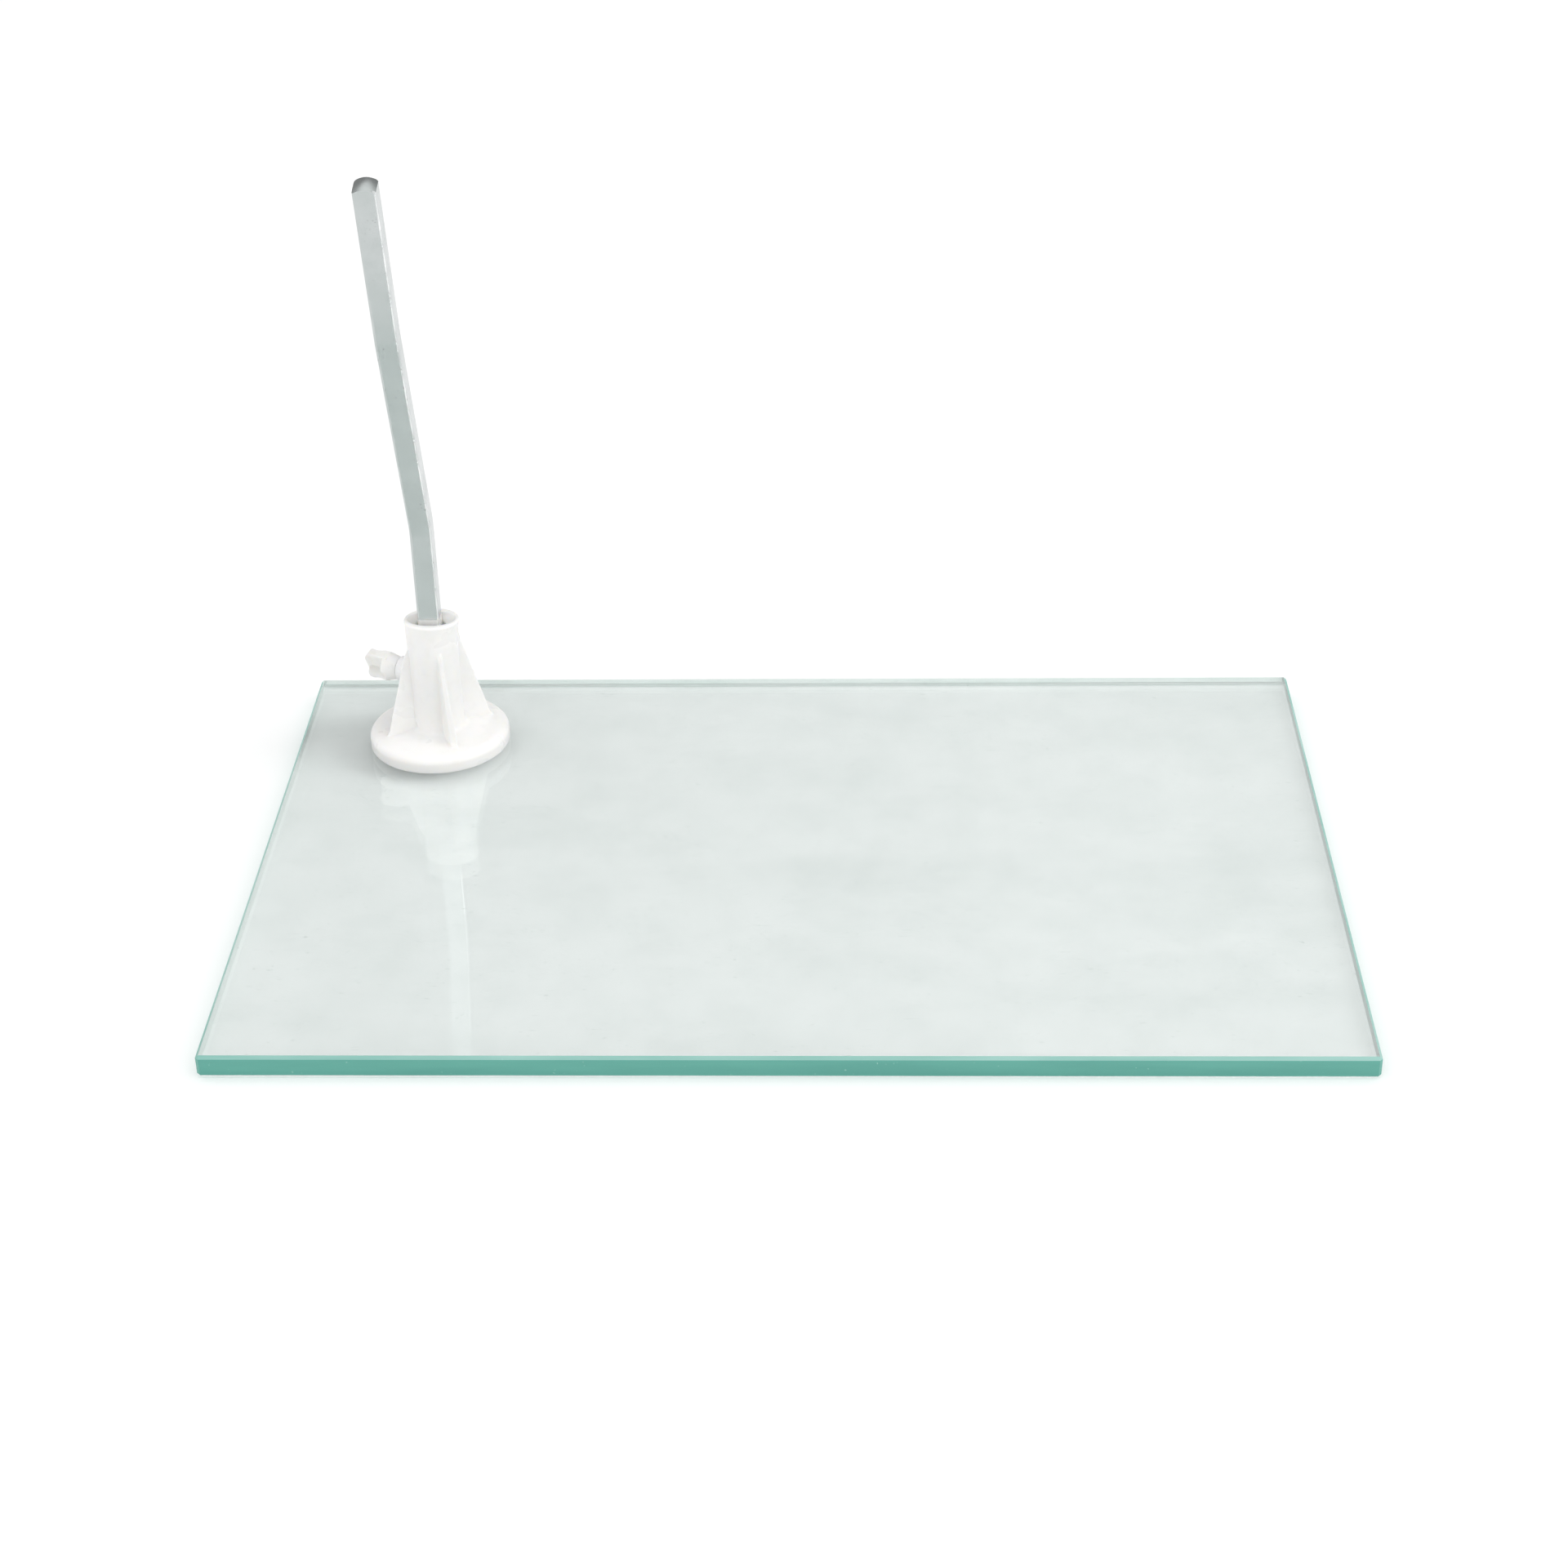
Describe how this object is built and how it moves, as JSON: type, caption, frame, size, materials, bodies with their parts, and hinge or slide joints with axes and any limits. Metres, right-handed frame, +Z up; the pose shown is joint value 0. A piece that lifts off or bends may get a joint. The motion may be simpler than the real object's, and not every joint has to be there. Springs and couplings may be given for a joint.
{
  "type": "display form base",
  "caption": "Free-standing display-form base: rectangular glass plate, white clamp socket with wing screw, and a bent square chromed bar.",
  "frame": {"origin": "centre of the glass plate's underside, on the surface that the base stands on", "axes": "+X along the plate's long side, to the right seen from the front; the front edge is at -Y; +Z up"},
  "size_m": [0.38, 0.25, 0.2456],
  "materials": {
    "clear_glass": "clear float glass, polished",
    "white_plastic": "moulded, semi-gloss",
    "chrome_plate": "chrome plated over drawn bar",
    "zinc_steel": "bright zinc plated",
    "brass": "turned",
    "soft_pvc": "clear soft PVC, satin",
    "nylon": "moulded, matt"
  },
  "bodies": {
    "plate": {"glass_plate": "clear_glass", "hole_sleeve": "nylon"},
    "socket": {"socket_body": "white_plastic", "flange_gasket": "soft_pvc", "base_screw": "zinc_steel", "base_nut": "zinc_steel", "threaded_insert": "brass"},
    "bar": {"square_bar": "chrome_plate"},
    "clamp_shank": {"wing_screw_shank": "zinc_steel"},
    "clamp_head": {"wing_screw_head": "white_plastic"}
  },
  "joints": [
    {"name": "socket_swivel", "type": "hinge", "parent": "plate", "child": "socket", "pos_m": [-0.1365, 0.0776, 0.008], "axis": [0, 0, 1], "continuous": true},
    {"name": "bar_lift", "type": "slide", "parent": "socket", "child": "bar", "axis": [0, 0, 1], "range_m": [0, 0.014]},
    {"name": "clamp_travel", "type": "slide", "parent": "socket", "child": "clamp_shank", "axis": [-0.9336, 0.3584, 0], "range_m": [0, 0.0024]},
    {"name": "clamp_turn", "type": "hinge", "parent": "clamp_shank", "child": "clamp_head", "pos_m": [-0.15041, 0.08294, 0.036], "axis": [-0.9336, 0.3584, 0], "range_deg": [0, 1080]}
  ],
  "couplings": [
    {"joint": "clamp_turn", "follows": "clamp_travel", "rad_per_m": 7854}
  ]
}
